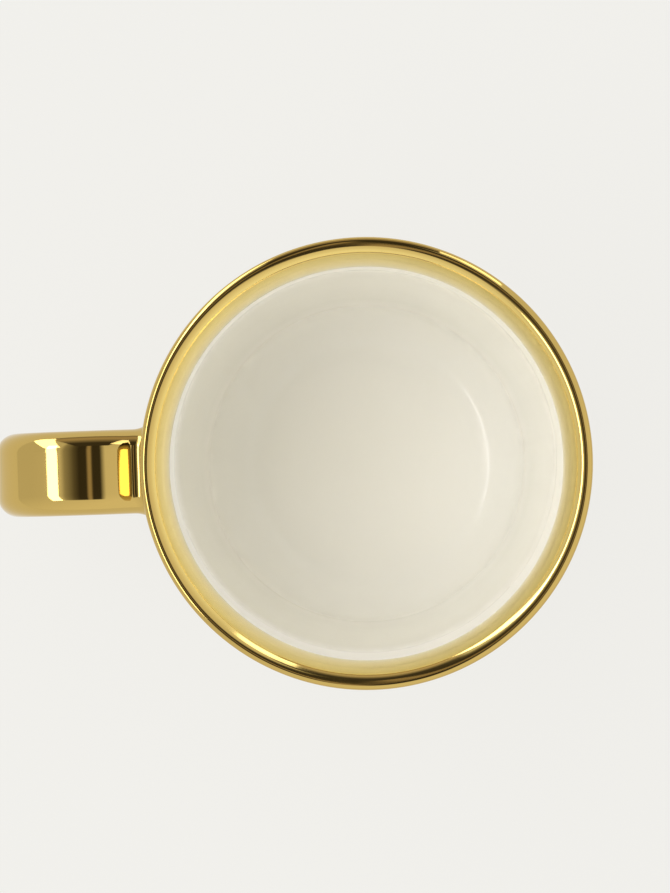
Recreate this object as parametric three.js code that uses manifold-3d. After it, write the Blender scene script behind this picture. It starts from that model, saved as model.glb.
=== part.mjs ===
// A porcelain mug with a strap handle: white glaze inside, gold lustre over the glaze outside.
// Millimetres, +Z up. The mug stands on z = 0 and its handle points to -X.
// The origin is under the middle of the mug's whole length, handle included.

import * as THREE from 'three';
import { mergeVertices } from 'three/addons/utils/BufferGeometryUtils.js';
import Module from 'manifold-3d';

// Cup, measured over the finished glaze
const rimDiameter = 88;
const mugHeight = 92;
const baseDiameter = 77;
const baseCornerRadius = 12;
const wallThickness = 4.8;
const lipRadius = 1.15;
const innerLipRadius = 2.5;
const flareStart = 65;
const floorThickness = 4;
const floorFillet = 11;

// Foot ring under the cup
const footSetback = 1;
const footWidth = 4;
const footHeight = 1.6;
const footEdgeRadius = 0.6;
const footFillet = 0.5;
const recessDepth = 2.4;
const recessFillet = 1.2;

// Strap handle, measured over the finished glaze, with radii along its outer face
const handleReach = 74.5;
const handleDrop = 12.5;
const handleWidth = 16.8;
const handleThickness = 9.6;
const handleEdgeRadius = 4.1;
const crownStartSlope = 16.5;
const crownEndSlope = 20;
const bendRadius = 16.3;
const lowerBendRadius = 28;
const lowerArmSlope = 20;
const lowerJointHeight = 20;

// Luting slip and glaze
const jointFillet = 4.2;
const armStretch = 0.5;
const slipThickness = 0.8;
const slipEdge = 0.35;
const glazeThickness = 0.3;
const seatGap = 0.3;

// How finely the round forms are divided
const turns = 48;
const arcSteps = 5;
const smallArcSteps = 2;
const lipSteps = 4;
const flareSteps = 3;
const crownSteps = 3;
const bendSteps = 8;
const edgeSteps = 3;
const filletSteps = [0.05, 0.15, 0.3, 0.5, 0.75, 1];

const wasm = await Module();
wasm.setup();

const rimRadius = rimDiameter / 2;
const degrees = Math.PI / 180;

function arc(centre, radius, fromAngle, toAngle, steps) {
  const points = [];
  for (let i = 0; i <= steps; i += 1) {
    const angle = fromAngle + (toAngle - fromAngle) * i / steps;
    const x = centre.x + radius * Math.cos(angle);
    const y = centre.y + radius * Math.sin(angle);
    points.push(new THREE.Vector2(x, y));
  }
  return points;
}

// The outer wall is the straight line that touches the base corner and the lip. Its lean is from upright.
const lipCentre = new THREE.Vector2(rimRadius - lipRadius, mugHeight - lipRadius);
const cornerCentre = new THREE.Vector2(baseDiameter / 2 - baseCornerRadius, footHeight + baseCornerRadius);
const cornerToLip = lipCentre.clone().sub(cornerCentre);
const wallLean = Math.atan2(cornerToLip.x, cornerToLip.y)
  - Math.asin((baseCornerRadius - lipRadius) / cornerToLip.length());
const wallNormal = new THREE.Vector2(Math.cos(wallLean), -Math.sin(wallLean));
const wallDistance = cornerCentre.dot(wallNormal) + baseCornerRadius;

function wallRadiusAt(height, offset = 0) {
  return (wallDistance + offset - height * wallNormal.y) / wallNormal.x;
}

// The inside of the lip is a larger arc that shares its crest with the outside one. Once it has turned down
// by the start of the flare, it goes on as the wide flare that runs out on the straight inner wall.
const innerLipCentre = new THREE.Vector2(lipCentre.x, mugHeight - innerLipRadius);
const flareTurn = Math.PI / 2 + flareStart * degrees;
const flareEase = Math.sin(flareStart * degrees + wallLean);
const flareRoom = wallThickness - wallDistance + innerLipCentre.dot(wallNormal) - innerLipRadius * flareEase;
const flareRadius = flareRoom / (1 - flareEase);
const flareCentre = new THREE.Vector2(Math.cos(flareTurn), Math.sin(flareTurn))
  .multiplyScalar(innerLipRadius - flareRadius).add(innerLipCentre);
const floorHeight = recessDepth + floorThickness;
const innerWallDistance = wallDistance - wallThickness;
const floorCentreHeight = floorHeight + floorFillet;
const floorCentre = new THREE.Vector2(
  (innerWallDistance - floorFillet - floorCentreHeight * wallNormal.y) / wallNormal.x,
  floorCentreHeight,
);

// The cup's surface in stretches, from the middle of the underside to the middle of the inside floor.
// An offset of zero is the finished surface, and a negative one lies that deep under it.
function cupStretches(offset) {
  const footOuter = cornerCentre.x - footSetback - footFillet;
  const footInner = footOuter - footWidth;
  const recessCentre = new THREE.Vector2(footInner - recessFillet, recessDepth - recessFillet);
  const stepCentre = new THREE.Vector2(footOuter + footFillet, footHeight - footFillet);
  const innerEdge = new THREE.Vector2(footInner + footEdgeRadius, footEdgeRadius);
  const outerEdge = new THREE.Vector2(footOuter - footEdgeRadius, footEdgeRadius);
  const under = [new THREE.Vector2(0, recessDepth - offset)];
  under.push(...arc(recessCentre, recessFillet - offset, Math.PI / 2, 0, smallArcSteps));
  const foot = arc(innerEdge, footEdgeRadius, Math.PI, Math.PI * 1.5, smallArcSteps);
  foot.push(...arc(outerEdge, footEdgeRadius, -Math.PI / 2, 0, smallArcSteps));
  const outside = arc(stepCentre, footFillet - offset, Math.PI, Math.PI / 2, smallArcSteps);
  outside.push(...arc(cornerCentre, baseCornerRadius + offset, -Math.PI / 2, -wallLean, arcSteps));
  outside.push(...arc(lipCentre, lipRadius + offset, -wallLean, Math.PI / 2, lipSteps));
  const inLip = arc(innerLipCentre, innerLipRadius + offset, Math.PI / 2, flareTurn, lipSteps);
  const flare = arc(flareCentre, flareRadius + offset, flareTurn, Math.PI - wallLean, flareSteps);
  outside.push(...inLip.slice(1), ...flare.slice(1));
  const inside = [flare.at(-1).clone()];
  inside.push(...arc(floorCentre, floorFillet - offset, -wallLean, -Math.PI / 2, arcSteps));
  inside.push(new THREE.Vector2(0, floorHeight + offset));
  return { under, foot, outside, inside };
}

function turned(points) {
  const geometry = new THREE.LatheGeometry(points, turns);
  geometry.rotateX(Math.PI / 2);
  return geometry;
}

function toSolid(geometry) {
  const bare = geometry.clone();
  bare.deleteAttribute('normal');
  bare.deleteAttribute('uv');
  const merged = mergeVertices(bare);
  const corners = merged.index.array;
  const triangles = [];
  for (let i = 0; i < corners.length; i += 3) {
    const [a, b, c] = [corners[i], corners[i + 1], corners[i + 2]];
    if (a !== b && b !== c && c !== a) {
      triangles.push(a, b, c);
    }
  }
  const vertProperties = new Float32Array(merged.attributes.position.array);
  const triVerts = new Uint32Array(triangles);
  return new wasm.Manifold(new wasm.Mesh({ numProp: 3, vertProperties, triVerts }));
}

function toGeometry(solid) {
  const mesh = solid.getMesh();
  const geometry = new THREE.BufferGeometry();
  geometry.setAttribute('position', new THREE.BufferAttribute(mesh.vertProperties, mesh.numProp));
  geometry.setIndex(new THREE.BufferAttribute(mesh.triVerts, 1));
  geometry.computeVertexNormals();
  return geometry;
}

// The space inside the cup's outer face, grown by an offset, which ends the handle at the wall
function wallBlank(offset) {
  const low = -handleWidth;
  const high = mugHeight + handleWidth;
  return toSolid(turned([
    new THREE.Vector2(0, low),
    new THREE.Vector2(wallRadiusAt(low, offset), low),
    new THREE.Vector2(wallRadiusAt(high, offset), high),
    new THREE.Vector2(0, high),
  ]));
}

// The handle's outer face runs from the wall over a crown, round a bend, down the grip and round a larger
// bend back to the wall. The crown's radius follows from the reach and from where the upper fillet ends.
function handleLine() {
  const half = handleThickness / 2;
  const topHeight = mugHeight - handleDrop;
  const crownStart = crownStartSlope * degrees;
  const crownEnd = crownEndSlope * degrees;
  const bendStart = new THREE.Vector2(handleReach - bendRadius * (1 - Math.sin(crownEnd)), topHeight);
  const crownSpan = new THREE.Vector2(Math.sin(crownStart) + Math.sin(crownEnd), 1 - Math.cos(crownStart));
  const crownRoom = bendStart.dot(wallNormal) - wallDistance - jointFillet - armStretch;
  const crownRadius = crownRoom / crownSpan.dot(wallNormal);
  const crownCentre = new THREE.Vector2(
    bendStart.x - crownRadius * Math.sin(crownEnd),
    topHeight - crownRadius,
  );
  const bendCentre = new THREE.Vector2(
    handleReach - bendRadius,
    crownCentre.y + (crownRadius - bendRadius) * Math.cos(crownEnd),
  );

  const armSlope = lowerArmSlope * degrees;
  const lowerRadius = lowerBendRadius - half;
  const lowerCentre = new THREE.Vector2(handleReach - lowerBendRadius, 0);
  const lowerReach = lowerCentre.x + lowerRadius * Math.sin(armSlope) - wallRadiusAt(lowerJointHeight);
  lowerCentre.y = lowerJointHeight + lowerReach * Math.tan(armSlope) + lowerRadius * Math.cos(armSlope);

  const upright = Math.PI / 2;
  const bends = [
    { centre: crownCentre, radius: crownRadius - half, angles: [upright + crownStart, upright - crownEnd],
      steps: crownSteps },
    { centre: bendCentre, radius: bendRadius - half, angles: [upright - crownEnd, 0], steps: bendSteps },
    { centre: lowerCentre, radius: lowerRadius, angles: [0, armSlope - upright], steps: bendSteps },
  ];
  const stations = [];
  bends.forEach(({ centre, radius, angles, steps }, index) => {
    const points = arc(centre, radius, angles[0], angles[1], steps);
    const fresh = index === 1 ? points.slice(1) : points;
    for (const point of fresh) {
      stations.push({ point, rise: point.clone().sub(centre).normalize() });
    }
  });
  const armAt = (station, slope) => ({
    ...station,
    outward: new THREE.Vector2(Math.cos(slope), Math.sin(slope)),
  });
  return { stations, upperArm: armAt(stations[0], crownStart), lowerArm: armAt(stations.at(-1), armSlope) };
}

// How far to slide a point along an arm until it stands at a distance from the cone of the wall
function slideToWall(place, across, outward, distance) {
  const cone = distance - place.y * wallNormal.y;
  const alongOut = outward.x * wallNormal.x;
  const alongUp = outward.y * wallNormal.y;
  const a = alongOut * alongOut - alongUp * alongUp;
  const b = place.x * alongOut * wallNormal.x + cone * alongUp;
  const c = (place.x * place.x + across * across) * wallNormal.x * wallNormal.x - cone * cone;
  return (Math.sqrt(b * b - a * c) - b) / a;
}

// The strap's section: a rounded rectangle as points with their outward direction
function strapSection(offset) {
  const radius = handleEdgeRadius + offset;
  const acrossInset = handleWidth / 2 - handleEdgeRadius;
  const throughInset = handleThickness / 2 - handleEdgeRadius;
  const section = [];
  for (let corner = 0; corner < 4; corner += 1) {
    const start = corner * Math.PI / 2;
    const across = (corner === 0 || corner === 3) ? acrossInset : -acrossInset;
    const through = corner < 2 ? throughInset : -throughInset;
    for (const out of arc(new THREE.Vector2(), 1, start, start + Math.PI / 2, edgeSteps)) {
      section.push({ across: across + radius * out.x, through: through + radius * out.y, out });
    }
  }
  return section;
}

// How far the fillet stands out from the strap at a distance from the wall
function filletFlare(distance, radius) {
  const rest = radius - distance;
  return radius - Math.sqrt(radius * radius - rest * rest);
}

// The distance from the wall at which the fillet stands out so far
function filletHeight(flare, radius) {
  const rest = radius - flare;
  return radius - Math.sqrt(radius * radius - rest * rest);
}

// The handle as a closed sweep of its section, plain or with its fillets flared out to the wall.
// Its last rings at each end follow the wall, and the ends themselves lie half-way through it.
function handleSweep(offset, flared) {
  const { stations, upperArm, lowerArm } = handleLine();
  const section = strapSection(offset);
  const radius = jointFillet - offset;
  const root = -wallThickness / 2;
  const rings = [];

  const armRing = (arm, distance, points) => points.map(({ across, through, out }) => {
    const nearest = Math.max(distance, radius * filletSteps[0]);
    const flare = flared ? filletFlare(nearest, radius) : 0;
    const wide = across + flare * out.x;
    const place = arm.point.clone().addScaledVector(arm.rise, through + flare * out.y);
    const slide = slideToWall(place, wide, arm.outward, wallDistance + offset + distance);
    place.addScaledVector(arm.outward, slide);
    return [-place.x, wide, place.y];
  });
  const armRings = (arm) => [root, ...filletSteps.map((share) => share * radius)]
    .map((distance) => armRing(arm, distance, section));
  const armEnd = (arm) => armRing(arm, root, [{ across: 0, through: 0, out: new THREE.Vector2() }])[0];

  rings.push(...armRings(upperArm));
  for (const { point, rise } of stations) {
    rings.push(section.map(({ across, through }) => {
      const place = point.clone().addScaledVector(rise, through);
      return [-place.x, across, place.y];
    }));
  }
  rings.push(...armRings(lowerArm).reverse());

  const count = section.length;
  const lastRing = (rings.length - 1) * count;
  const firstEnd = rings.length * count;
  const lastEnd = firstEnd + 1;
  const positions = [...rings.flat(2), ...armEnd(upperArm), ...armEnd(lowerArm)];
  const triangles = [];
  for (let i = 0; i < count; i += 1) {
    const next = (i + 1) % count;
    for (let ring = 0; ring < lastRing; ring += count) {
      const [a, b] = [ring + i, ring + next];
      triangles.push(a, a + count, b, b, a + count, b + count);
    }
    triangles.push(i, next, firstEnd, lastRing + next, lastRing + i, lastEnd);
  }
  const geometry = new THREE.BufferGeometry();
  geometry.setAttribute('position', new THREE.Float32BufferAttribute(positions, 3));
  geometry.setIndex(triangles);
  return toSolid(geometry);
}

const finished = cupStretches(0);
const clay = cupStretches(-glazeThickness);
const clayHandle = handleSweep(-glazeThickness, false);
const clayFillets = handleSweep(-glazeThickness, true);
const finishedHandle = handleSweep(0, true);

// Materials
const bisque = new THREE.MeshStandardMaterial({ color: 0xe6dfd0, roughness: 0.7, metalness: 0 });
const slip = new THREE.MeshStandardMaterial({ color: 0xddd5c4, roughness: 0.75, metalness: 0 });
const whiteGlaze = new THREE.MeshStandardMaterial({ color: 0xece6d8, roughness: 0.15, metalness: 0 });
const goldLustre = new THREE.MeshStandardMaterial({ color: 0xd9ab4a, roughness: 0.08, metalness: 1 });

// The cup's clay stands under its glaze everywhere but on the bare foot ring.
function porcelainBody() {
  const foot = [finished.under.at(-1), ...finished.foot, finished.outside[0]];
  return turned([...clay.under, ...foot, ...clay.outside, ...clay.inside.slice(1)]);
}

// The strap's clay ends short of the wall by the slip that holds it.
function porcelainHandle() {
  return toGeometry(clayHandle.subtract(wallBlank(slipThickness + seatGap - glazeThickness)));
}

// The slip lies between the strap's end and the wall, and stands up around the end as a fillet.
function slipJoint(isUpper) {
  const between = (mugHeight - handleDrop + lowerJointHeight) / 2;
  const side = new THREE.BoxGeometry(handleReach * 2, handleReach * 2, mugHeight);
  side.translate(0, 0, between + (isUpper ? mugHeight : -mugHeight) / 2);
  const strapRoom = handleSweep(seatGap - glazeThickness, false);
  const socket = strapRoom.subtract(wallBlank(slipThickness - glazeThickness));
  const collarHeight = filletHeight(seatGap + slipEdge, jointFillet + glazeThickness);
  const collar = clayFillets.intersect(wallBlank(collarHeight - glazeThickness));
  const seated = collar.subtract(wallBlank(seatGap - glazeThickness)).subtract(socket);
  return toGeometry(seated.intersect(toSolid(side)));
}

// The gilded glaze on the cup is left out where the slip meets the clay wall.
function gildedBodyGlaze() {
  const coat = turned([...finished.outside, ...clay.outside.slice().reverse(), finished.outside[0]]);
  return toGeometry(toSolid(coat).subtract(finishedHandle));
}

function gildedHandleGlaze() {
  return toGeometry(finishedHandle.subtract(clayFillets).subtract(wallBlank(seatGap)));
}

function whiteInnerGlaze() {
  return turned([...clay.inside.slice().reverse(), ...finished.inside]);
}

function whiteBaseGlaze() {
  return turned([...finished.under, ...clay.under.slice().reverse()]);
}

const mug = new THREE.Group();
mug.position.x = (handleReach - rimRadius) / 2;

function addPiece(name, geometry, material) {
  const piece = new THREE.Mesh(geometry, material);
  piece.name = name;
  mug.add(piece);
}

addPiece('porcelain_body', porcelainBody(), bisque);
addPiece('porcelain_handle', porcelainHandle(), bisque);
addPiece('upper_slip_joint', slipJoint(true), slip);
addPiece('lower_slip_joint', slipJoint(false), slip);
addPiece('gilded_body_glaze', gildedBodyGlaze(), goldLustre);
addPiece('gilded_handle_glaze', gildedHandleGlaze(), goldLustre);
addPiece('white_inner_glaze', whiteInnerGlaze(), whiteGlaze);
addPiece('white_base_glaze', whiteBaseGlaze(), whiteGlaze);

const part = new THREE.Group();
part.add(mug);

export default part;
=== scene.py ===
import bmesh
import bpy
import math
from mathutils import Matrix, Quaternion, Vector


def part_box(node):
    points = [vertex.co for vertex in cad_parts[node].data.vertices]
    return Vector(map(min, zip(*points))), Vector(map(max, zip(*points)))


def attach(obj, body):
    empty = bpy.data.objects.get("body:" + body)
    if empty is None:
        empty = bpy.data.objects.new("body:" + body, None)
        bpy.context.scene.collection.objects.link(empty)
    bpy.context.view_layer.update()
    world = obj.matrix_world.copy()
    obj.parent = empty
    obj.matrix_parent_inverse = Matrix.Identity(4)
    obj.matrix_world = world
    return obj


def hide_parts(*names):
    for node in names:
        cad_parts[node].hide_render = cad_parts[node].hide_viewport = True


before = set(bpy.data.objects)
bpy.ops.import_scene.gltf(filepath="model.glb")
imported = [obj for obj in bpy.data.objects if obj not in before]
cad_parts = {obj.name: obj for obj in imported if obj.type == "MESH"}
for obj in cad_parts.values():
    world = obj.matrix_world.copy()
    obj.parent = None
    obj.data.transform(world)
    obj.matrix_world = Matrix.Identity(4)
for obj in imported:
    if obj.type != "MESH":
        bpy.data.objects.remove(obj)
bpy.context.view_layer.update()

# Cup
# The cup is cast in porcelain, dried, trimmed true on its foot and fired.
# Glaze hides all of it but the foot ring, which is left bare so that it doesn't stick in the kiln.
MM = 0.001
coat_low, coat_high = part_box("gilded_body_glaze")
lining_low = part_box("white_inner_glaze")[0]
recess_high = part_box("white_base_glaze")[1]
cup_axis = (coat_low.x + coat_high.x) / 2
rim_radius = (coat_high.x - coat_low.x) / 2
mug_height = coat_high.z
glaze_thickness = 0.3 * MM
base_radius = 38.5 * MM
base_corner_radius = 12 * MM
wall_thickness = 4.8 * MM
lip_radius = 1.15 * MM
inner_lip_radius = 2.5 * MM
flare_start = math.radians(65)
floor_height = lining_low.z + glaze_thickness
floor_fillet = 11 * MM
foot_height = 1.6 * MM
foot_width = 4 * MM
foot_setback = 1 * MM
foot_fillet = 0.5 * MM
foot_edge_radius = 0.6 * MM
recess_depth = recess_high.z - glaze_thickness
recess_fillet = 1.2 * MM

# The outer wall is the straight line that touches the base corner and the lip.
# Inside, the lip turns down and eases on to the straight inner wall by a wide flare.
# The gold ends where that flare meets the inner wall.
lip_centre = Vector((rim_radius - lip_radius, mug_height - lip_radius))
corner_centre = Vector((base_radius - base_corner_radius, foot_height + base_corner_radius))
corner_to_lip = lip_centre - corner_centre
wall_lean = math.atan2(corner_to_lip.x, corner_to_lip.y) - math.asin(
    (base_corner_radius - lip_radius) / corner_to_lip.length)
wall_normal = Vector((math.cos(wall_lean), -math.sin(wall_lean)))
wall_distance = corner_centre.dot(wall_normal) + base_corner_radius
inner_wall_distance = wall_distance - wall_thickness
inner_lip_centre = Vector((lip_centre.x, mug_height - inner_lip_radius))
flare_ease = math.sin(flare_start + wall_lean)
flare_room = inner_lip_centre.dot(wall_normal) - inner_wall_distance - inner_lip_radius * flare_ease
flare_radius = flare_room / (1 - flare_ease)
flare_centre = inner_lip_centre + (flare_radius - inner_lip_radius) * Vector((
    math.sin(flare_start), -math.cos(flare_start)))
band_edge = flare_centre - flare_radius * wall_normal
floor_centre_height = floor_height + floor_fillet
floor_centre = Vector((
    (inner_wall_distance - floor_fillet - floor_centre_height * wall_normal.y) / wall_normal.x,
    floor_centre_height))
foot_outer = corner_centre.x - foot_setback - foot_fillet
foot_inner = foot_outer - foot_width
step_centre = Vector((foot_outer + foot_fillet, foot_height - foot_fillet))
recess_centre = Vector((foot_inner - recess_fillet, recess_depth - recess_fillet))

quarter_turn = math.pi / 2
turned_sides = 192
small_arc_steps = 6
arc_steps = 16
lip_steps = 28
flare_steps = 12
wall_steps = 6
weld_distance = 0.002 * MM
sharp_edge = math.radians(40)


def outline_from(radius, height):
    """Starts an outline beside the cup's axis with one point."""
    bpy.ops.object.select_all(action="DESELECT")
    bpy.ops.mesh.primitive_plane_add(size=MM)
    bpy.ops.object.mode_set(mode="EDIT")
    bpy.ops.mesh.merge(type="CENTER")
    bpy.ops.transform.translate(value=(cup_axis + radius, 0, height))


def line_to(radius, height, steps=1):
    """Draws the outline straight on to a point."""
    points = bmesh.from_edit_mesh(bpy.context.edit_object.data).verts
    here = next(point.co for point in points if point.select)
    step = Vector((cup_axis + radius - here.x, 0, height - here.z)) / steps
    for _ in range(steps):
        bpy.ops.mesh.extrude_vertices_move(TRANSFORM_OT_translate={"value": step})


def arc_round(centre, turn, steps):
    """Draws the outline on round a centre, anticlockwise for a positive turn."""
    bpy.ops.mesh.spin(
        steps=steps, angle=turn, center=(cup_axis + centre.x, 0, centre.y), axis=(0, 1, 0))


def draw_outside(depth):
    """Draws the stretch from the foot up the wall and over the lip, so deep under the finished face."""
    arc_round(step_centre, -quarter_turn, small_arc_steps)
    line_to(corner_centre.x, foot_height + depth)
    arc_round(corner_centre, quarter_turn - wall_lean, arc_steps)
    wall_top = lip_centre + (lip_radius - depth) * wall_normal
    line_to(wall_top.x, wall_top.y, wall_steps)
    arc_round(lip_centre, quarter_turn + wall_lean, lip_steps)
    arc_round(inner_lip_centre, flare_start, lip_steps)
    arc_round(flare_centre, quarter_turn - wall_lean - flare_start, flare_steps)


def draw_inside(depth):
    """Draws the stretch from the band's edge down the inner wall to the middle of the floor."""
    wall_end = floor_centre + (floor_fillet + depth) * wall_normal
    line_to(wall_end.x, wall_end.y, wall_steps)
    arc_round(floor_centre, wall_lean - quarter_turn, arc_steps)
    line_to(0, floor_height - depth)


def turn_outline(name):
    """Turns the outline round the cup's axis and welds it."""
    bpy.ops.mesh.select_all(action="SELECT")
    bpy.ops.mesh.spin(
        steps=turned_sides, angle=2 * math.pi, center=(cup_axis, 0, 0), axis=(0, 0, 1))
    return weld(name)


def weld(name):
    """Closes the seams of the mesh in hand, turns its faces outwards and names the piece."""
    bpy.ops.mesh.select_all(action="SELECT")
    bpy.ops.mesh.remove_doubles(threshold=weld_distance)
    bpy.ops.mesh.normals_make_consistent(inside=False)
    bpy.ops.object.mode_set(mode="OBJECT")
    piece = bpy.context.object
    piece.name = name
    piece.data.name = name
    return piece


def smooth(piece):
    """Shades a piece smooth but for its sharp edges, with the broad faces setting the normals."""
    bpy.ops.object.shade_smooth_by_angle(angle=sharp_edge)
    normals = piece.modifiers.new("normals", "WEIGHTED_NORMAL")
    normals.keep_sharp = True
    bpy.ops.object.modifier_apply(modifier=normals.name)


def linear(hex_colour):
    """An sRGB hex colour as linear RGBA."""
    values = [int(hex_colour[i:i + 2], 16) / 255 for i in (1, 3, 5)]
    return [v / 12.92 if v <= 0.04045 else ((v + 0.055) / 1.055) ** 2.4 for v in values] + [1]


def add_node(tree, kind, sockets, stops=(), **settings):
    """Adds a node with its settings and stops of colour, and sets or links its sockets."""
    node = tree.nodes.new(kind)
    for name, value in settings.items():
        setattr(node, name, value)
    if stops:
        points = node.color_ramp.elements
        while len(points) < len(stops):
            points.new(1)
        for point, (position, colour) in zip(points, stops):
            point.position = position
            point.color = linear(colour)
    for socket, value in sockets.items():
        if isinstance(value, bpy.types.NodeSocket):
            tree.links.new(value, node.inputs[socket])
        else:
            node.inputs[socket].default_value = value
    return node


def new_material(name):
    """A material with its node tree and its shader."""
    material = bpy.data.materials.new(name)
    material.use_nodes = True
    return material, material.node_tree, material.node_tree.nodes["Principled BSDF"]


outline_from(0, recess_depth + glaze_thickness)
line_to(recess_centre.x, recess_depth + glaze_thickness)
arc_round(recess_centre, -quarter_turn, small_arc_steps)
line_to(foot_inner, recess_centre.y)
line_to(foot_inner, foot_edge_radius)
arc_round(Vector((foot_inner + foot_edge_radius, foot_edge_radius)), quarter_turn, small_arc_steps)
line_to(foot_outer - foot_edge_radius, 0)
arc_round(Vector((foot_outer - foot_edge_radius, foot_edge_radius)), quarter_turn, small_arc_steps)
line_to(foot_outer, step_centre.y)
line_to(foot_outer - glaze_thickness, step_centre.y)
draw_outside(glaze_thickness)
draw_inside(glaze_thickness)
cup = turn_outline("porcelain_cup")
smooth(cup)

# Bisque porcelain: fired clay without glaze, matt and warm white, with a fine sandy grit on the foot.
bisque, tree, shader = new_material("bisque_porcelain")
grit_size = 0.5 * MM
grit_depth = 0.05 * MM
grit_strength = 0.5
place = add_node(tree, "ShaderNodeTexCoord", {})
grit = add_node(tree, "ShaderNodeTexNoise", {
    "Vector": place.outputs["Object"], "Scale": 1 / grit_size, "Detail": 3})
tint = add_node(tree, "ShaderNodeMixRGB", {
    "Fac": grit.outputs["Fac"], "Color1": linear("#E2DACA"), "Color2": linear("#EFE9DC")})
relief = add_node(tree, "ShaderNodeBump", {
    "Height": grit.outputs["Fac"], "Strength": grit_strength, "Distance": grit_depth})
tree.links.new(tint.outputs["Color"], shader.inputs["Base Color"])
tree.links.new(relief.outputs["Normal"], shader.inputs["Normal"])
shader.inputs["Roughness"].default_value = 0.75
cup.data.materials.append(bisque)
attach(cup, "root")
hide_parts("porcelain_body")

# Handle core and its luting
# The strap is cast in the same clay and stuck to the leather-hard cup with slip, wiped to a fillet.
# The gold glaze hides all three, so the frame's own solids stay.

# Luting slip: clay thinned with water, matt, a little greyer than the cast clay, with brush marks.
slip, tree, shader = new_material("luting_slip")
brush_mark = 1.2 * MM
place = add_node(tree, "ShaderNodeTexCoord", {})
mark = add_node(tree, "ShaderNodeTexNoise", {
    "Vector": place.outputs["Object"], "Scale": 1 / brush_mark, "Detail": 2})
tint = add_node(tree, "ShaderNodeMixRGB", {
    "Fac": mark.outputs["Fac"], "Color1": linear("#D8CFBC"), "Color2": linear("#E4DCCB")})
tree.links.new(tint.outputs["Color"], shader.inputs["Base Color"])
shader.inputs["Roughness"].default_value = 0.8
for node_name, finish in (
        ("porcelain_handle", bisque), ("upper_slip_joint", slip), ("lower_slip_joint", slip)):
    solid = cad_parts[node_name].data
    solid.materials.clear()
    solid.materials.append(finish)

# Underside glaze
# The same white glaze as inside lines the recess in the foot ring. It is poured in, swirled and
# tipped out, and it stops in a clean line where the foot ring is wiped bare.


def thicken(piece, offset):
    """Gives a turned or swept face its layer of glaze, and shades it smooth."""
    layer = piece.modifiers.new("layer", "SOLIDIFY")
    layer.thickness = glaze_thickness
    layer.offset = offset
    layer.use_even_offset = True
    bpy.ops.object.modifier_apply(modifier=layer.name)
    smooth(piece)


outline_from(0, recess_depth)
line_to(recess_centre.x, recess_depth)
arc_round(recess_centre, -quarter_turn, small_arc_steps)
underside = turn_outline("underside_glaze")
thicken(underside, -1)

# White gloss glaze: a glass coat full of fine white grains, with soft colour and gentle reflections.
# Painted light makes it whitest low on the wall and over the top of the floor's fillet, to lift the
# shade there, and creamier higher up.
# Just below the gold it is painted lighter, as light falls there, most on one side, and there it
# mirrors hardly at all.
# All of it drifts faintly in tone, and is slightly wavy in what it mirrors.
white_glaze, tree, shader = new_material("white_gloss_glaze")
drift_size = 22 * MM
ripple_size = 7 * MM
ripple_depth = 0.03 * MM
ripple_strength = 0.3
smoothest_glaze = 0.1
roughest_glaze = 0.14
glossy_sheen = 0.38
dry_sheen = 0
# Painted light: a band below the gold is painted lighter, deepest and brightest on one side.
lit_band_depth = 14 * MM
lit_band_edge = 12 * MM
lit_band_tilt = 4 * MM / band_edge.x
lit_band_low_side = math.radians(290)
lit_band_full_side = math.radians(225)

# Painted light: how pale the glaze is painted, by height in mm above the floor.
fill_light_stops = ((1, "#FAFAFA"), (10, "#FFFFFF"), (14, "#FFFFFF"), (22, "#F9F9F8"), (65, "#F4F3EF"))
place = add_node(tree, "ShaderNodeTexCoord", {})
drift = add_node(tree, "ShaderNodeTexNoise", {
    "Vector": place.outputs["Object"], "Scale": 1 / drift_size, "Detail": 2})
tint = add_node(tree, "ShaderNodeMixRGB", {
    "Fac": drift.outputs["Fac"], "Color1": linear("#FAF8F0"), "Color2": linear("#FCFAF4")})
height = add_node(tree, "ShaderNodeSeparateXYZ", {"Vector": place.outputs["Object"]})
level = add_node(tree, "ShaderNodeMapRange", {
    "Value": height.outputs["Z"], "From Min": floor_height, "From Max": mug_height})
# Painted light: the glaze is painted paler where the wall lies in shade.
fill_light_ramp = add_node(tree, "ShaderNodeValToRGB", {"Fac": level.outputs["Result"]}, stops=[
    (rise * MM / (mug_height - floor_height), colour) for rise, colour in fill_light_stops])
fill_lit_tint = add_node(tree, "ShaderNodeMixRGB", {
    "Fac": 1, "Color1": tint.outputs["Color"], "Color2": fill_light_ramp.outputs["Color"]}, blend_type="MULTIPLY")
from_axis = add_node(tree, "ShaderNodeVectorMath", {
    0: place.outputs["Object"], 1: (cup_axis, 0, 0)}, operation="SUBTRACT")
lit_band_height = add_node(tree, "ShaderNodeVectorMath", {
    0: from_axis.outputs["Vector"],
    1: (lit_band_tilt * math.cos(lit_band_low_side), lit_band_tilt * math.sin(lit_band_low_side), 1),
    }, operation="DOT_PRODUCT")
edge = add_node(tree, "ShaderNodeMapRange", {
    "Value": lit_band_height.outputs["Value"],
    "From Min": band_edge.y - lit_band_depth - lit_band_edge / 2,
    "From Max": band_edge.y - lit_band_depth + lit_band_edge / 2}, interpolation_type="SMOOTHSTEP")
side = add_node(tree, "ShaderNodeVectorMath", {
    0: from_axis.outputs["Vector"],
    1: (math.cos(lit_band_full_side), math.sin(lit_band_full_side), 0)}, operation="DOT_PRODUCT")
# The painted light is strongest on the side that faces the light.
lit_side = add_node(tree, "ShaderNodeMapRange", {
    "Value": side.outputs["Value"], "From Min": -band_edge.x, "From Max": band_edge.x})
painted_band_light = add_node(tree, "ShaderNodeMath", {
    0: edge.outputs["Result"], 1: lit_side.outputs["Result"]}, operation="MULTIPLY")
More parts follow.
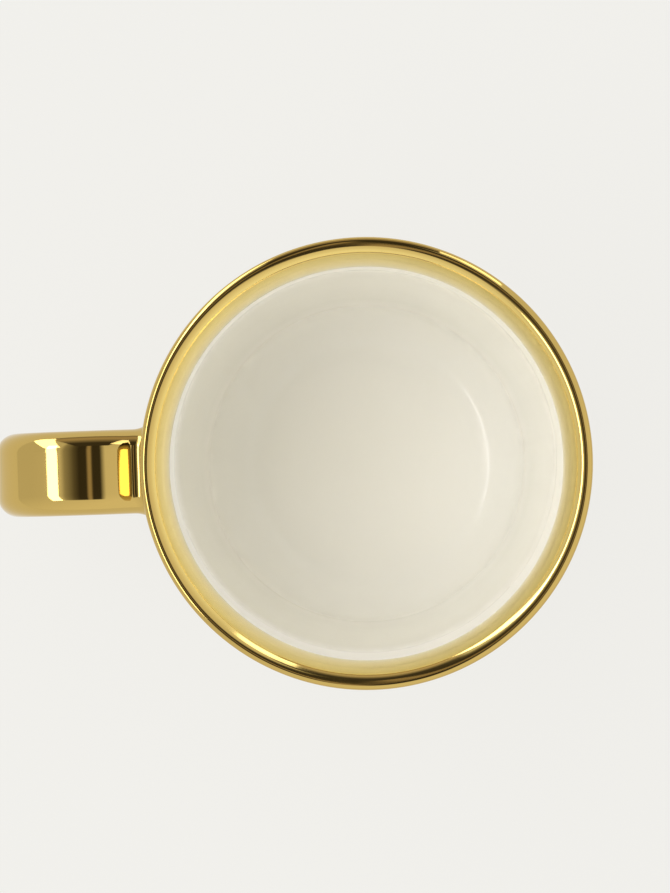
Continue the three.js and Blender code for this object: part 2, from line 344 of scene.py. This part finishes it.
# The band's painted light and the painted light by height are laid over the glaze's tone.
tone_and_painted_light = add_node(tree, "ShaderNodeMixRGB", {
    "Fac": painted_band_light.outputs[0], "Color1": fill_lit_tint.outputs["Color"], "Color2": linear("#FDFCFA")})
ripple = add_node(tree, "ShaderNodeTexNoise", {
    "Vector": place.outputs["Object"], "Scale": 1 / ripple_size, "Detail": 1})
relief = add_node(tree, "ShaderNodeBump", {
    "Height": ripple.outputs["Fac"], "Strength": ripple_strength, "Distance": ripple_depth})
gloss = add_node(tree, "ShaderNodeMapRange", {
    "Value": drift.outputs["Fac"], "To Min": smoothest_glaze, "To Max": roughest_glaze})
sheen = add_node(tree, "ShaderNodeMapRange", {
    "Value": edge.outputs["Result"], "To Min": glossy_sheen, "To Max": dry_sheen})
tree.links.new(tone_and_painted_light.outputs["Color"], shader.inputs["Base Color"])
tree.links.new(gloss.outputs["Result"], shader.inputs["Roughness"])
tree.links.new(sheen.outputs["Result"], shader.inputs["Specular IOR Level"])
tree.links.new(relief.outputs["Normal"], shader.inputs["Normal"])
shader.inputs["IOR"].default_value = 1.5
underside.data.materials.append(white_glaze)
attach(underside, "root")
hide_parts("white_base_glaze")

# Lining
# The inside is glazed white from the gold band down the wall and over the floor.
# For a finger's breadth below the gold the glaze is painted lighter, painted light that is strongest on
# one side.
outline_from(band_edge.x, band_edge.y)
draw_inside(0)
lining = turn_outline("white_lining")
thicken(lining, 1)
lining.data.materials.append(white_glaze)
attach(lining, "root")
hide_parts("white_inner_glaze")

# Gold on the cup
# The outside glaze carries gold lustre from the foot up the wall, over the lip and down a band inside.
# It is brushed on over the fired glaze and fired again: a mirror with the glaze's own waviness.
outline_from(foot_outer, step_centre.y)
draw_outside(0)
gold_coat = turn_outline("gold_cup_coat")
thicken(gold_coat, -1)

# Gold lustre: a metal film on glossy glaze. Its mirror is clear, and drifts a little in hue and haze.
gold, tree, shader = new_material("gold_lustre")
hue_drift = 30 * MM
wave_size = 5 * MM
wave_depth = 0.02 * MM
wave_strength = 0.2
clearest_gold = 0.03
haziest_gold = 0.06
place = add_node(tree, "ShaderNodeTexCoord", {})
hue = add_node(tree, "ShaderNodeTexNoise", {
    "Vector": place.outputs["Object"], "Scale": 1 / hue_drift, "Detail": 2})
tint = add_node(tree, "ShaderNodeMixRGB", {
    "Fac": hue.outputs["Fac"], "Color1": linear("#CBAD63"), "Color2": linear("#D1B469")})
haze = add_node(tree, "ShaderNodeMapRange", {
    "Value": hue.outputs["Fac"], "To Min": clearest_gold, "To Max": haziest_gold})
wave = add_node(tree, "ShaderNodeTexNoise", {
    "Vector": place.outputs["Object"], "Scale": 1 / wave_size, "Detail": 1})
relief = add_node(tree, "ShaderNodeBump", {
    "Height": wave.outputs["Fac"], "Strength": wave_strength, "Distance": wave_depth})
tree.links.new(tint.outputs["Color"], shader.inputs["Base Color"])
tree.links.new(haze.outputs["Result"], shader.inputs["Roughness"])
tree.links.new(relief.outputs["Normal"], shader.inputs["Normal"])
shader.inputs["Metallic"].default_value = 1
gold_coat.data.materials.append(gold)

# Thin gold lustre: inside the lip the film is brushed out thin over the white glaze,
# so it loses some of its metal from the crest to the band's lower edge. It is also painted paler
# towards that edge, a painted highlight that stands for the bright reflections the band shows.
pale_thin_gold, tree, shader = new_material("thin_gold_painted_pale")
thin_metal = 0.9
thin_below = 0.8
full_above = 0.95
film_depth = 0.01 * MM
film_strength = 0.1
clearest_film = 0.05
haziest_film = 0.12

# Painted highlight: the film's colour, paler towards the band's lower edge, by height as a share of the
# band's.
painted_highlight_stops = (
    (0, "#F2E6C0"), (0.35, "#F4E2A2"), (thin_below, "#F1DC92"), (full_above, "#E7CC7C"), (1, "#CEB066"))
place = add_node(tree, "ShaderNodeTexCoord", {})
height = add_node(tree, "ShaderNodeSeparateXYZ", {"Vector": place.outputs["Object"]})
level = add_node(tree, "ShaderNodeMapRange", {
    "Value": height.outputs["Z"], "From Min": band_edge.y, "From Max": mug_height})
# The painted highlight is read from these stops.
painted_highlight_ramp = add_node(tree, "ShaderNodeValToRGB", {"Fac": level.outputs["Result"]}, stops=painted_highlight_stops)
metal = add_node(tree, "ShaderNodeMapRange", {
    "Value": level.outputs["Result"], "From Min": thin_below, "From Max": full_above,
    "To Min": thin_metal, "To Max": 1})
brush = add_node(tree, "ShaderNodeTexNoise", {
    "Vector": place.outputs["Object"], "Scale": 1 / wave_size, "Detail": 1})
haze = add_node(tree, "ShaderNodeMapRange", {
    "Value": brush.outputs["Fac"], "To Min": clearest_film, "To Max": haziest_film})
relief = add_node(tree, "ShaderNodeBump", {
    "Height": brush.outputs["Fac"], "Strength": film_strength, "Distance": film_depth})
tree.links.new(painted_highlight_ramp.outputs["Color"], shader.inputs["Base Color"])
tree.links.new(metal.outputs["Result"], shader.inputs["Metallic"])
tree.links.new(haze.outputs["Result"], shader.inputs["Roughness"])
tree.links.new(relief.outputs["Normal"], shader.inputs["Normal"])
gold_coat.data.materials.append(pale_thin_gold)
for face in gold_coat.data.polygons:
    from_cup_axis = math.hypot(face.center.x - cup_axis, face.center.y)
    if face.center.z > band_edge.y and from_cup_axis < lip_centre.x:
        face.material_index = 1
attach(gold_coat, "root")
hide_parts("gilded_body_glaze")

# Gold on the handle
# The strap rises a little from the cup, bends down into an upright grip and comes back in a wide curve.
# Its glaze and gold lustre run out over a fillet on to the wall at both ends.
handle_reach = cup_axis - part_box("gilded_handle_glaze")[0].x
handle_drop = 12.5 * MM
handle_top = mug_height - handle_drop
strap_width = 16.8 * MM
strap_thickness = 9.6 * MM
strap_edge_radius = 4.1 * MM
crown_start_slope = math.radians(16.5)
crown_end_slope = math.radians(20)
bend_radius = 16.3 * MM
lower_bend_radius = 28 * MM
lower_arm_slope = math.radians(20)
lower_joint_height = 20 * MM
joint_fillet = 4.2 * MM
arm_stretch = 0.5 * MM
edge_steps = 10
bend_steps = 36
crown_steps = 16
fillet_steps = 14

# Places of the strap are pairs: how far out from the cup's axis, and how high.
bend_start = Vector((handle_reach - bend_radius * (1 - math.sin(crown_end_slope)), handle_top))
crown_span = Vector((
    math.sin(crown_start_slope) + math.sin(crown_end_slope), 1 - math.cos(crown_start_slope)))
crown_room = bend_start.dot(wall_normal) - wall_distance - joint_fillet - arm_stretch
crown_radius = crown_room / crown_span.dot(wall_normal)
crown_centre = Vector((
    bend_start.x - crown_radius * math.sin(crown_end_slope), handle_top - crown_radius))
bend_centre = Vector((
    handle_reach - bend_radius,
    crown_centre.y + (crown_radius - bend_radius) * math.cos(crown_end_slope)))
lower_middle_radius = lower_bend_radius - strap_thickness / 2
lower_joint_radius = (wall_distance - lower_joint_height * wall_normal.y) / wall_normal.x
lower_out = handle_reach - lower_bend_radius
lower_run = lower_out + lower_middle_radius * math.sin(lower_arm_slope) - lower_joint_radius
lower_centre = Vector((lower_out, lower_joint_height + lower_run * math.tan(lower_arm_slope)
                       + lower_middle_radius * math.cos(lower_arm_slope)))


def bend_strap(centre, turn, steps):
    """Carries the strap's end face on round a bend."""
    bpy.ops.mesh.spin(
        steps=steps, angle=turn, center=(cup_axis - centre.x, 0, centre.y), axis=(0, 1, 0))


def slide_to_wall(place, across, outward, distance):
    """How far a point slides along an arm until it stands at a distance from the cone of the wall."""
    cone = distance - place.y * wall_normal.y
    along_out = outward.x * wall_normal.x
    along_up = outward.y * wall_normal.y
    a = along_out ** 2 - along_up ** 2
    b = place.x * along_out * wall_normal.x + cone * along_up
    c = (place.x ** 2 + across ** 2) * wall_normal.x ** 2 - cone ** 2
    return (math.sqrt(b * b - a * c) - b) / a


def ring_on_wall(middle, outward, gap, flare):
    """Draws the strap's end face on to a gap from the wall, widened by the fillet's flare."""
    bpy.ops.mesh.extrude_region_move(TRANSFORM_OT_translate={"value": (0, 0, 0)})
    strap = bpy.context.edit_object.data
    rise = Vector((-outward.y, outward.x))
    core = Vector((strap_width / 2 - strap_edge_radius, strap_thickness / 2 - strap_edge_radius))
    for point in bmesh.from_edit_mesh(strap).verts:
        if point.select:
            reach = Vector((cup_axis - point.co.x, point.co.z)) - middle
            seat = Vector((point.co.y, reach.dot(rise)))
            inner = Vector((max(-core.x, min(core.x, seat.x)), max(-core.y, min(core.y, seat.y))))
            seat = inner + (seat - inner).normalized() * (strap_edge_radius + flare)
            place = middle + rise * seat.y
            place += outward * slide_to_wall(place, seat.x, outward, wall_distance + gap)
            point.co = (cup_axis - place.x, seat.x, place.y)
    bmesh.update_edit_mesh(strap)


def end_on_wall(middle, slope):
    """Runs an arm of the strap out on to the wall in a fillet, with its end open in the cup's coat."""
    outward = Vector((math.cos(slope), math.sin(slope)))
    for step in range(fillet_steps + 1):
        turn = quarter_turn * (1 - step / fillet_steps)
        gap = joint_fillet * (1 - math.cos(turn))
        flare = joint_fillet * (1 - math.sin(turn))
        ring_on_wall(middle, outward, gap, flare)
    ring_on_wall(middle, outward, -glaze_thickness / 2, joint_fillet)
    bpy.ops.mesh.delete(type="ONLY_FACE")


def lift_strap(rise):
    """Carries the strap's end face straight up, or down for a negative rise."""
    bpy.ops.mesh.extrude_region_move(TRANSFORM_OT_translate={"value": (0, 0, rise)})


# The strap's section is laid in the middle of the grip and drawn from there, first up and then down.
grip_middle = (bend_centre.y + lower_centre.y) / 2
bpy.ops.object.select_all(action="DESELECT")
bpy.ops.mesh.primitive_plane_add(size=1)
bpy.ops.object.mode_set(mode="EDIT")
bpy.ops.transform.resize(value=(strap_thickness, strap_width, 1))
bpy.ops.mesh.bevel(offset=strap_edge_radius, segments=edge_steps, affect="VERTICES")
bpy.ops.mesh.select_all(action="SELECT")
bpy.ops.transform.translate(value=(cup_axis - handle_reach + strap_thickness / 2, 0, grip_middle))
lift_strap(bend_centre.y - grip_middle)
bend_strap(bend_centre, crown_end_slope - quarter_turn, bend_steps)
bend_strap(crown_centre, -crown_start_slope - crown_end_slope, crown_steps)
crown_start = quarter_turn + crown_start_slope
crown_middle_radius = crown_radius - strap_thickness / 2
upper_arm = crown_centre + crown_middle_radius * Vector((math.cos(crown_start), math.sin(crown_start)))
end_on_wall(upper_arm, crown_start_slope)

# The section itself is by now the only face that isn't a quad.
quad_corners = 4
bpy.ops.mesh.select_all(action="DESELECT")
strap = bpy.context.edit_object.data
for face in bmesh.from_edit_mesh(strap).faces:
    if len(face.verts) > quad_corners:
        face.select_set(True)
bmesh.update_edit_mesh(strap)
lift_strap(lower_centre.y - grip_middle)
bend_strap(lower_centre, quarter_turn - lower_arm_slope, bend_steps)
lower_end = lower_arm_slope - quarter_turn
lower_arm = lower_centre + lower_middle_radius * Vector((math.cos(lower_end), math.sin(lower_end)))
end_on_wall(lower_arm, lower_arm_slope)
gold_handle = weld("gold_handle_coat")
thicken(gold_handle, -1)
gold_handle.data.materials.append(gold)
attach(gold_handle, "root")
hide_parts("gilded_handle_glaze")

# Floor
# A plain sheet of pale matt paper that the mug stands on. To the eye and in mirrors it glows evenly,
# as well-lit paper does, right out to the edges, and it keeps a faint shadow.
floor_size = 8.0
floor_glow = 0.92
bpy.ops.object.select_all(action="DESELECT")
bpy.ops.mesh.primitive_plane_add(size=floor_size)
floor = bpy.context.object
floor.name = "floor"
paper, tree, shader = new_material("pale_paper")
shader.inputs["Base Color"].default_value = linear("#E2E1DD")
shader.inputs["Roughness"].default_value = 0.9
shader.inputs["Specular IOR Level"].default_value = 0
glow = add_node(tree, "ShaderNodeEmission", {"Color": linear("#F0EFEB")})
ray = add_node(tree, "ShaderNodeLightPath", {})
seen = add_node(tree, "ShaderNodeMath", {
    0: ray.outputs["Is Camera Ray"], 1: ray.outputs["Is Glossy Ray"]}, operation="ADD")
seen = add_node(tree, "ShaderNodeMath", {
    0: seen.outputs[0], 1: ray.outputs["Is Transmission Ray"]}, operation="ADD", use_clamp=True)
share = add_node(tree, "ShaderNodeMath", {0: seen.outputs[0], 1: floor_glow}, operation="MULTIPLY")
lit = add_node(tree, "ShaderNodeMixShader", {
    0: share.outputs[0], 1: shader.outputs["BSDF"], 2: glow.outputs["Emission"]})
tree.links.new(lit.outputs["Shader"], tree.nodes["Material Output"].inputs["Surface"])
floor.data.materials.append(paper)

# Studio light
# A long key softbox over the handle side lights the mug. The gold doesn't mirror it, but three cards:
# a strip above the handle that runs on to the far side, and two tall ones there, the left one leaning.

# Sizes and heights are in metres, and leans, sides and rolls in degrees.
rim_middle = Vector((cup_axis, 0, mug_height))
overhead_distance = 1.8
card_distance = 2.0
softboxes = []
for name, lean, far_lean, slide, length, width, radiance in (
        ("key_softbox", -24, 6, 0, 3.2, 1.5, 2.55),
        ("strip_card", -38.4, -4.8, 0.35, 2.2, 0.31, 4.6)):
    aim = Vector((math.tan(math.radians(lean)), math.tan(math.radians(far_lean)), 1)).normalized()
    target = rim_middle + slide * Vector((aim.y, -aim.x, 0)).normalized()
    softboxes.append((name, target + overhead_distance * aim, target, 0, length, width, radiance))
for name, side, height, roll, width, length, radiance in (
        ("left_card", 133, 1.2, -22, 0.66, 2.5, 3.2),
        ("right_card", 60, 1.46, 0, 0.63, 1.84, 1.9)):
    aim = Vector((math.cos(math.radians(side)), math.sin(math.radians(side)), 0))
    target = Vector((cup_axis, 0, height))
    softboxes.append((
        name, target + card_distance * aim, target, math.radians(roll), width, length, radiance))
for name, place, target, roll, size_x, size_y, radiance in softboxes:
    lamp = bpy.data.lights.new(name, "AREA")
    lamp.shape = "RECTANGLE"
    lamp.size = size_x
    lamp.size_y = size_y
    lamp.energy = radiance * math.pi * size_x * size_y
    softbox = bpy.data.objects.new(name, lamp)
    softbox.location = place
    facing = (target - place).to_track_quat("-Z", "Y")
    softbox.rotation_euler = (facing @ Quaternion((0, 0, 1), roll)).to_euler()
    softbox.visible_camera = False
    if name == "key_softbox":
        softbox.visible_glossy = False
    else:
        softbox.visible_diffuse = False
    bpy.context.scene.collection.objects.link(softbox)

# The room is pale like the paper, with a dark strip overhead that runs on between the two tall cards.
# Each ramp is read by an angle in degrees: across the handle, towards the window, away from the near
# side or round the mug.
world = bpy.data.worlds.new("studio")
world.use_nodes = True
bpy.context.scene.world = world
tree = world.node_tree
sky = add_node(tree, "ShaderNodeTexCoord", {})
way = add_node(tree, "ShaderNodeSeparateXYZ", {"Vector": sky.outputs["Generated"]})
across, along, bearing = [
    add_node(tree, "ShaderNodeMath", {0: way.outputs[out], 1: way.outputs[ahead]}, operation="ARCTAN2")
    for out, ahead in ("XZ", "YZ", "YX")]
window = math.radians(-45)
towards = add_node(tree, "ShaderNodeVectorMath", {
    0: sky.outputs["Generated"], 1: (math.cos(window), math.sin(window), 0)}, operation="DOT_PRODUCT")
bright = add_node(tree, "ShaderNodeMath", {0: towards.outputs["Value"]}, operation="ARCSINE")
dim_side = "#E0DFDB"
bright_side = "#FFFEFA"
half = "#BCBAB6"
shade = "#706C66"
dark = "#45413C"
tan = "#C0B2A4"
grey = "#8E867E"
none = "#000000"
full = "#FFFFFF"
ramps = []
for angle, low, high, stops in (
        (across, -90, 90, ((-29.5, full), (-25.5, half), (-17, shade), (-12, dark), (-5.6, dark),
                           (-3.4, tan), (-1.6, tan), (0.2, dark), (7.2, dark), (12, full))),
        (bright, -90, 90, ((-40, dim_side), (40, bright_side))),
        (along, -90, 90, ((-31, none), (-26, full))),
        (along, -90, 90, ((48, dark), (60, grey), (72, tan), (78, tan), (88, grey))),
        (along, -90, 90, ((29, none), (30, full), (89, full), (90, none))),
        (bearing, 0, 180, ((62, none), (64, full), (114, full), (116, none)))):
    share = add_node(tree, "ShaderNodeMapRange", {
        "Value": angle.outputs[0], "From Min": math.radians(low), "From Max": math.radians(high)})
    ramp = add_node(tree, "ShaderNodeValToRGB", {"Fac": share.outputs["Result"]}, stops=[
        ((stop - low) / (high - low), colour) for stop, colour in stops])
    ramps.append(ramp.outputs["Color"])
strip, walls, strip_there, gap, gap_high, gap_between = ramps
gap_there = add_node(tree, "ShaderNodeMath", {0: gap_high, 1: gap_between}, operation="MULTIPLY")
overhead = add_node(tree, "ShaderNodeMixRGB", {
    "Fac": strip_there, "Color1": walls, "Color2": strip}, blend_type="MULTIPLY")
studio = add_node(tree, "ShaderNodeMixRGB", {
    "Fac": gap_there.outputs[0], "Color1": overhead.outputs["Color"], "Color2": gap})
tree.links.new(studio.outputs["Color"], tree.nodes["Background"].inputs["Color"])

# Camera
# It looks straight down the cup's axis from above, turned a little so that the handle sits low.
# The axis lies right of the picture's middle and a little below it, at a place given in pixels.
eye_height = 700 * MM
picture_width = 670
picture_height = 893
picture_scale = 0.1938 * MM
axis_from_left = 366.4
axis_from_top = 463.5
camera_turn = math.radians(-1.95)
camera_data = bpy.data.cameras.new("camera")
camera_data.sensor_width = 36
camera_data.lens = camera_data.sensor_width * eye_height / (picture_height * picture_scale)
camera_data.shift_x = (picture_width / 2 - axis_from_left) / picture_height
camera_data.shift_y = (axis_from_top - picture_height / 2) / picture_height
camera = bpy.data.objects.new("camera", camera_data)
camera.location = (cup_axis, 0, mug_height + eye_height)
camera.rotation_euler = (0, 0, camera_turn)
bpy.context.scene.collection.objects.link(camera)
bpy.context.scene.camera = camera
bpy.context.scene.view_settings.view_transform = "Standard"
